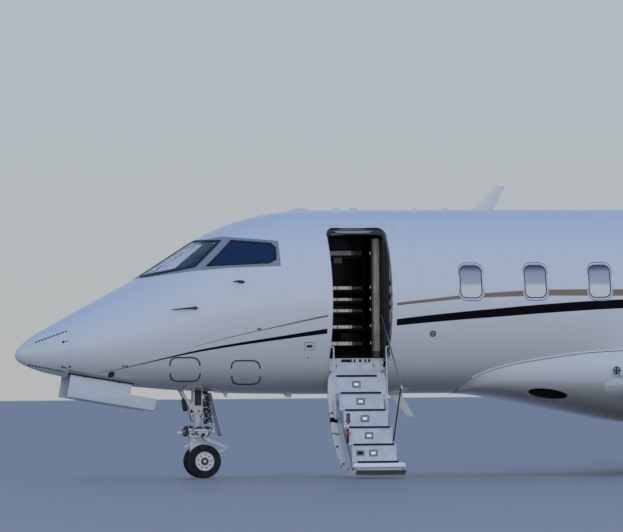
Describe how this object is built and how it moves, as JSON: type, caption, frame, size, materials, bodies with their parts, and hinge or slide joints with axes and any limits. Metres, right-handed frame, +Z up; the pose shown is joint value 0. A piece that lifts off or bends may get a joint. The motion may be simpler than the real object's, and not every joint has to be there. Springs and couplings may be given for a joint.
{
  "type": "twin-engine T-tail business jet",
  "caption": "White business jet parked on its gear with the airstair door open, swept wings with winglets, T-tail and rear engines.",
  "frame": {"origin": "on the ground under the centreline, halfway along the overall length", "axes": "+X to the nose, +Y to the port side with the airstair door, +Z up"},
  "size_m": [20.85, 19.5338, 6.135],
  "materials": {
    "fuselage_paint": "gloss",
    "radome_paint": "gloss",
    "composite_paint": "gloss",
    "wing_alloy_paint": "painted gloss",
    "engine_steel": "satin",
    "fan_steel": "satin",
    "cabin_glass": "clear",
    "cockpit_glass": "tinted blue",
    "carpet": "pile",
    "panel_plastic": "matte",
    "seat_leather": "satin",
    "cabinet_wood": "varnished",
    "wheel_alloy": "painted gloss",
    "gear_paint": "gloss",
    "gear_door_paint": "gloss",
    "step_alloy": "satin",
    "stay_steel": "polished",
    "tyre_rubber": "matte",
    "antenna_alloy": "painted gloss"
  },
  "bodies": {
    "airframe": {"radome": "radome_paint", "forward_fuselage": "fuselage_paint", "centre_fuselage": "fuselage_paint", "aft_fuselage": "fuselage_paint", "cabin_windows_left": "cabin_glass", "cabin_windows_right": "cabin_glass", "windshield_left": "cockpit_glass", "windshield_right": "cockpit_glass", "cockpit_side_window_left": "cockpit_glass", "cockpit_side_window_right": "cockpit_glass", "cabin_floor": "carpet", "instrument_panel": "panel_plastic", "pilot_seat_left": "seat_leather", "pilot_seat_right": "seat_leather", "galley": "cabinet_wood", "cabin_partition": "cabinet_wood", "wing_body_fairing": "composite_paint", "wing_left": "wing_alloy_paint", "wing_right": "wing_alloy_paint", "tailplane": "composite_paint", "fin": "composite_paint", "nacelle_left": "composite_paint", "nacelle_right": "composite_paint", "engine_left": "engine_steel", "engine_right": "engine_steel", "nose_gear_leg": "gear_paint", "main_gear_leg_left": "gear_paint", "main_gear_leg_right": "gear_paint", "blade_antenna": "antenna_alloy"},
    "airstair": {"airstair_door": "fuselage_paint", "airstair_steps": "step_alloy"},
    "stay_front": {"airstair_stay_front": "stay_steel"},
    "stay_rear": {"airstair_stay_rear": "stay_steel"},
    "handrail_post": {"airstair_post": "stay_steel"},
    "handrail": {"airstair_rail": "stay_steel"},
    "nose_steering": {"nose_gear_fork": "gear_paint"},
    "nose_wheel_pair": {"nose_wheels": "wheel_alloy", "nose_tyre_left": "tyre_rubber", "nose_tyre_right": "tyre_rubber"},
    "nose_door_left": {"nose_gear_door_left": "gear_door_paint"},
    "nose_door_right": {"nose_gear_door_right": "gear_door_paint"},
    "main_wheel_pair_left": {"main_wheels_left": "wheel_alloy", "main_tyre_outer_left": "tyre_rubber", "main_tyre_inner_left": "tyre_rubber"},
    "main_wheel_pair_right": {"main_wheels_right": "wheel_alloy", "main_tyre_outer_right": "tyre_rubber", "main_tyre_inner_right": "tyre_rubber"},
    "fan_rotor_left": {"fan_left": "fan_steel"},
    "fan_rotor_right": {"fan_right": "fan_steel"},
    "flap_panel_left": {"flap_left": "wing_alloy_paint"},
    "flap_panel_right": {"flap_right": "wing_alloy_paint"},
    "aileron_panel_left": {"aileron_left": "wing_alloy_paint"},
    "aileron_panel_right": {"aileron_right": "wing_alloy_paint"},
    "spoiler_panel_left": {"spoiler_left": "wing_alloy_paint"},
    "spoiler_panel_right": {"spoiler_right": "wing_alloy_paint"},
    "elevator_panel_left": {"elevator_left": "composite_paint"},
    "elevator_panel_right": {"elevator_right": "composite_paint"},
    "rudder_panel": {"rudder": "composite_paint"},
    "baggage_hatch": {"baggage_door": "fuselage_paint"}
  },
  "joints": [
    {"name": "airstair_hinge", "type": "hinge", "parent": "airframe", "child": "airstair", "pos_m": [5.91, 0.763, 1.4], "axis": [1, 0, 0], "range_deg": [0, 134.4]},
    {"name": "stay_front_hinge", "type": "hinge", "parent": "airframe", "child": "stay_front", "pos_m": [6.261, 0.96, 1.751], "axis": [1, 0, 0], "range_deg": [0, 180]},
    {"name": "stay_rear_hinge", "type": "hinge", "parent": "airframe", "child": "stay_rear", "pos_m": [5.538, 0.96, 1.751], "axis": [1, 0, 0], "range_deg": [0, 180]},
    {"name": "handrail_post_hinge", "type": "hinge", "parent": "airstair", "child": "handrail_post", "pos_m": [5.588, 1.57, 0.5], "axis": [1, 0, 0], "range_deg": [0, 70.51]},
    {"name": "handrail_hinge", "type": "hinge", "parent": "handrail_post", "child": "handrail", "pos_m": [5.564, 2, 1.177], "axis": [1, 0, 0], "range_deg": [-239.4, 0]},
    {"name": "nose_steering", "type": "hinge", "parent": "airframe", "child": "nose_steering", "pos_m": [7.975, 0, 0.62], "axis": [0, 0, 1], "range_deg": [-60, 60]},
    {"name": "nose_wheel_axle", "type": "hinge", "parent": "nose_steering", "child": "nose_wheel_pair", "pos_m": [7.875, 0, 0.22655], "axis": [0, 1, 0], "continuous": true},
    {"name": "main_wheel_axle_left", "type": "hinge", "parent": "airframe", "child": "main_wheel_pair_left", "pos_m": [-0.45, 1.48, 0.33362], "axis": [0, 1, 0], "continuous": true},
    {"name": "main_wheel_axle_right", "type": "hinge", "parent": "airframe", "child": "main_wheel_pair_right", "pos_m": [-0.45, -1.48, 0.33362], "axis": [0, 1, 0], "continuous": true},
    {"name": "fan_shaft_left", "type": "hinge", "parent": "airframe", "child": "fan_rotor_left", "pos_m": [-3.65, 1.94, 2.79], "axis": [1, 0, 0], "continuous": true},
    {"name": "fan_shaft_right", "type": "hinge", "parent": "airframe", "child": "fan_rotor_right", "pos_m": [-3.65, -1.94, 2.79], "axis": [1, 0, 0], "continuous": true},
    {"name": "flap_hinge_left", "type": "hinge", "parent": "airframe", "child": "flap_panel_left", "pos_m": [-0.7312, 1.68, 1.13252], "axis": [0.1469, -0.9865, -0.0728], "range_deg": [0, 30]},
    {"name": "flap_hinge_right", "type": "hinge", "parent": "airframe", "child": "flap_panel_right", "pos_m": [-0.7312, -1.68, 1.13252], "axis": [-0.1469, -0.9865, 0.0728], "range_deg": [0, 30]},
    {"name": "aileron_hinge_left", "type": "hinge", "parent": "airframe", "child": "aileron_panel_left", "pos_m": [-1.68631, 6, 1.43372], "axis": [0.3003, -0.9522, -0.0566], "range_deg": [-20, 20]},
    {"name": "aileron_hinge_right", "type": "hinge", "parent": "airframe", "child": "aileron_panel_right", "pos_m": [-1.68631, -6, 1.43372], "axis": [-0.3003, -0.9522, 0.0566], "range_deg": [-20, 20]},
    {"name": "elevator_hinge_left", "type": "hinge", "parent": "airframe", "child": "elevator_panel_left", "pos_m": [-9.09008, 0.3, 6.01], "axis": [0.3107, -0.9505, 0], "range_deg": [-20, 15]},
    {"name": "elevator_hinge_right", "type": "hinge", "parent": "airframe", "child": "elevator_panel_right", "pos_m": [-9.09008, -0.3, 6.01], "axis": [-0.3107, -0.9505, 0], "range_deg": [-20, 15]},
    {"name": "spoiler_hinge_left", "type": "hinge", "parent": "airframe", "child": "spoiler_panel_left", "pos_m": [-0.0956, 2.31, 1.38939], "axis": [-0.2424, 0.9695, 0.0372], "range_deg": [0, 45]},
    {"name": "spoiler_hinge_right", "type": "hinge", "parent": "airframe", "child": "spoiler_panel_right", "pos_m": [-0.0956, -2.31, 1.38939], "axis": [0.2424, 0.9695, -0.0372], "range_deg": [0, 45]},
    {"name": "rudder_hinge", "type": "hinge", "parent": "airframe", "child": "rudder_panel", "pos_m": [-7.7049, 0, 3.95], "axis": [-0.5502, 0, 0.835], "range_deg": [-25, 25]},
    {"name": "baggage_hinge", "type": "hinge", "parent": "airframe", "child": "baggage_hatch", "pos_m": [-2.906, 0.98679, 1.756], "axis": [-0.9922, -0.1244, 0], "range_deg": [0, 80]},
    {"name": "nose_door_hinge_left", "type": "hinge", "parent": "airframe", "child": "nose_door_left", "pos_m": [9.725, 0.33, 1.419], "axis": [-0.986, 0, -0.1668], "range_deg": [0, 80]},
    {"name": "nose_door_hinge_right", "type": "hinge", "parent": "airframe", "child": "nose_door_right", "pos_m": [9.725, -0.33, 1.419], "axis": [0.986, 0, 0.1668], "range_deg": [0, 80]}
  ],
  "couplings": [
    {"joint": "stay_front_hinge", "follows": "airstair_hinge", "ratio": 1.3392},
    {"joint": "stay_rear_hinge", "follows": "airstair_hinge", "ratio": 1.3392},
    {"joint": "handrail_post_hinge", "follows": "airstair_hinge", "ratio": 0.5246},
    {"joint": "handrail_hinge", "follows": "airstair_hinge", "ratio": -1.781},
    {"joint": "aileron_hinge_right", "follows": "aileron_hinge_left", "ratio": -1},
    {"joint": "elevator_hinge_right", "follows": "elevator_hinge_left", "ratio": 1}
  ]
}
